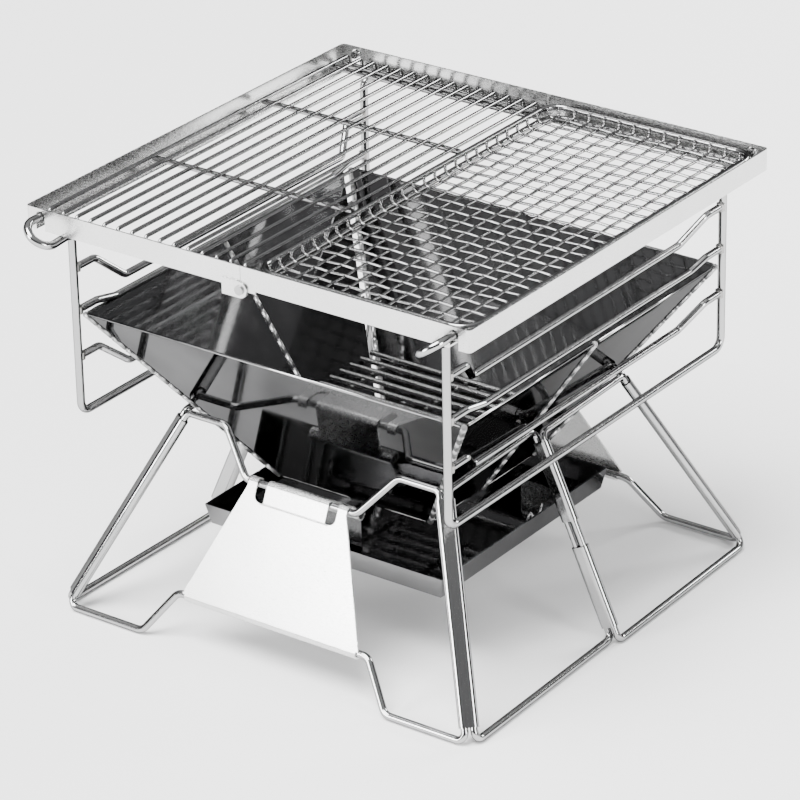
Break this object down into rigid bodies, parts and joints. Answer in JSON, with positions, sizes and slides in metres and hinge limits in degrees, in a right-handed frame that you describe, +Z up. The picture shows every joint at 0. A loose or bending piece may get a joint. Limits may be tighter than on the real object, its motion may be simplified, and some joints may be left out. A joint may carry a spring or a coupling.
{
  "type": "folding camp grill",
  "caption": "Square folding charcoal grill: wire leg stand, folding fire pan, ash tray, hanging side racks and hinged top frame with bar and mesh grates.",
  "frame": {"origin": "centre of the outline at the level the feet stand on", "axes": "+Z up, -Y towards the front plate and the longer pair of rack hooks, +X towards the right hand rack"},
  "size_m": [0.35, 0.3764, 0.296],
  "materials": {
    "satin_steel": "satin stainless sheet",
    "polished_wire": "polished stainless wire",
    "mirror_steel": "mirror polished stainless sheet",
    "hinge_steel": "dull pins and rivets"
  },
  "bodies": {
    "stand_front": {"front_leg_frame": "polished_wire", "front_plate": "satin_steel", "right_front_sleeve": "polished_wire", "left_front_sleeve": "polished_wire"},
    "right_front_leg": {"right_front_leg": "polished_wire", "right_mid_sleeves": "polished_wire"},
    "right_back_leg": {"right_back_leg": "polished_wire"},
    "stand_back": {"back_leg_frame": "polished_wire", "back_plate": "satin_steel", "right_back_sleeve": "polished_wire", "left_back_sleeve": "polished_wire"},
    "left_front_leg": {"left_front_leg": "polished_wire", "left_mid_sleeves": "polished_wire"},
    "left_back_leg": {"left_back_leg": "polished_wire"},
    "ash_tray": {"ash_tray": "mirror_steel", "ash_tray_hangers": "mirror_steel"},
    "pan_front": {"pan_front_panel": "mirror_steel", "pan_front_pins": "hinge_steel"},
    "pan_right_front": {"pan_right_front_panel": "mirror_steel", "pan_right_mid_pin": "hinge_steel"},
    "pan_right_back": {"pan_right_back_panel": "mirror_steel"},
    "pan_back": {"pan_back_panel": "mirror_steel", "pan_back_pins": "hinge_steel"},
    "pan_left_front": {"pan_left_front_panel": "mirror_steel", "pan_left_mid_pin": "hinge_steel"},
    "pan_left_back": {"pan_left_back_panel": "mirror_steel"},
    "charcoal_grate": {"charcoal_rods": "polished_wire", "charcoal_cross_rods": "polished_wire"},
    "right_rack": {"right_rack_frame": "polished_wire", "right_rack_rungs": "polished_wire"},
    "left_rack": {"left_rack_frame": "polished_wire", "left_rack_rungs": "polished_wire"},
    "top_right": {"top_right_rail": "satin_steel", "hinge_rivets": "hinge_steel"},
    "top_left": {"top_left_rail": "satin_steel"},
    "bar_grate": {"bar_grate_bars": "polished_wire", "bar_grate_rims": "polished_wire"},
    "mesh_grate": {"mesh_grate_rims": "polished_wire", "mesh_wires_lengthwise": "polished_wire", "mesh_wires_crosswise": "polished_wire"}
  },
  "joints": [
    {"name": "pan_lift", "type": "slide", "parent": "stand_front", "child": "pan_front", "axis": [0, 0, 1], "range_m": [0, 0.22]},
    {"name": "stand_fold", "type": "hinge", "parent": "stand_front", "child": "right_front_leg", "pos_m": [0.168, -0.1557, 0.0025], "axis": [-0.3802, 0.3756, 0.8452], "range_deg": [0, 71]},
    {"name": "right_mid_fold", "type": "hinge", "parent": "right_front_leg", "child": "right_back_leg", "pos_m": [0.171, 0.006, 0.0025], "axis": [-0.4102, 0, 0.912], "range_deg": [-128, 0]},
    {"name": "back_fold", "type": "hinge", "parent": "right_back_leg", "child": "stand_back", "pos_m": [0.168, 0.1677, 0.0025], "axis": [-0.3802, -0.3756, 0.8452], "range_deg": [0, 72]},
    {"name": "left_front_fold", "type": "hinge", "parent": "stand_front", "child": "left_front_leg", "pos_m": [-0.168, -0.1557, 0.0025], "axis": [0.3802, 0.3756, 0.8452], "range_deg": [-71, 0]},
    {"name": "left_mid_fold", "type": "hinge", "parent": "left_front_leg", "child": "left_back_leg", "pos_m": [-0.171, 0.006, 0.0025], "axis": [0.4102, 0, 0.912], "range_deg": [0, 128]},
    {"name": "tray_drop", "type": "slide", "parent": "stand_front", "child": "ash_tray", "axis": [0, 0, -1], "range_m": [0, 0.29]},
    {"name": "pan_fold", "type": "hinge", "parent": "pan_front", "child": "pan_right_front", "pos_m": [0.06202, -0.05398, 0.085], "axis": [0.4986, -0.4822, 0.7203], "range_deg": [0, 60]},
    {"name": "pan_right_mid_fold", "type": "hinge", "parent": "pan_right_front", "child": "pan_right_back", "pos_m": [0.06202, 0.006, 0.085], "axis": [0.5691, 0, 0.8222], "range_deg": [-100, 0]},
    {"name": "pan_back_fold", "type": "hinge", "parent": "pan_right_back", "child": "pan_back", "pos_m": [0.06202, 0.06598, 0.085], "axis": [0.4986, 0.4822, 0.7203], "range_deg": [0, 61]},
    {"name": "pan_left_front_fold", "type": "hinge", "parent": "pan_front", "child": "pan_left_front", "pos_m": [-0.06202, -0.05398, 0.085], "axis": [-0.4986, -0.4822, 0.7203], "range_deg": [-61, 0]},
    {"name": "pan_left_mid_fold", "type": "hinge", "parent": "pan_left_front", "child": "pan_left_back", "pos_m": [-0.06202, 0.006, 0.085], "axis": [-0.5691, 0, 0.8222], "range_deg": [0, 100]},
    {"name": "charcoal_lift", "type": "slide", "parent": "pan_front", "child": "charcoal_grate", "axis": [0, 0, 1], "range_m": [0, 0.26]},
    {"name": "top_lift", "type": "slide", "parent": "charcoal_grate", "child": "top_right", "axis": [0, 0, 1], "range_m": [0, 0.85]},
    {"name": "top_fold", "type": "hinge", "parent": "top_right", "child": "top_left", "pos_m": [0, 0.006, 0.28], "axis": [0, -1, 0], "range_deg": [0, 180]},
    {"name": "right_rack_swing", "type": "hinge", "parent": "charcoal_grate", "child": "right_rack", "pos_m": [0.16289, 0.006, 0.29054], "axis": [0, -1, 0], "range_deg": [0, 76]},
    {"name": "left_rack_swing", "type": "hinge", "parent": "charcoal_grate", "child": "left_rack", "pos_m": [-0.16289, 0.006, 0.29054], "axis": [0, 1, 0], "range_deg": [0, 76]},
    {"name": "bar_grate_lift", "type": "slide", "parent": "top_left", "child": "bar_grate", "axis": [0, 0, 1], "range_m": [0, 0.06]},
    {"name": "mesh_grate_lift", "type": "slide", "parent": "top_right", "child": "mesh_grate", "axis": [0, 0, 1], "range_m": [0, 0.06]}
  ],
  "couplings": [
    {"joint": "stand_fold", "follows": "pan_lift", "rad_per_m": 5.5555},
    {"joint": "right_mid_fold", "follows": "pan_lift", "rad_per_m": -9.9966},
    {"joint": "back_fold", "follows": "pan_lift", "rad_per_m": 5.5766},
    {"joint": "left_front_fold", "follows": "pan_lift", "rad_per_m": -5.5555},
    {"joint": "left_mid_fold", "follows": "pan_lift", "rad_per_m": 9.9966},
    {"joint": "tray_drop", "follows": "pan_lift", "ratio": 1.2778},
    {"joint": "pan_right_mid_fold", "follows": "pan_fold", "ratio": -1.646},
    {"joint": "pan_back_fold", "follows": "pan_fold", "ratio": 1.0063},
    {"joint": "pan_left_front_fold", "follows": "pan_fold", "ratio": -1},
    {"joint": "pan_left_mid_fold", "follows": "pan_fold", "ratio": 1.646},
    {"joint": "charcoal_lift", "follows": "pan_fold", "m_per_rad": 0.24},
    {"joint": "top_lift", "follows": "top_fold", "m_per_rad": 0.26},
    {"joint": "right_rack_swing", "follows": "pan_fold", "ratio": 1.25},
    {"joint": "left_rack_swing", "follows": "pan_fold", "ratio": 1.25}
  ]
}
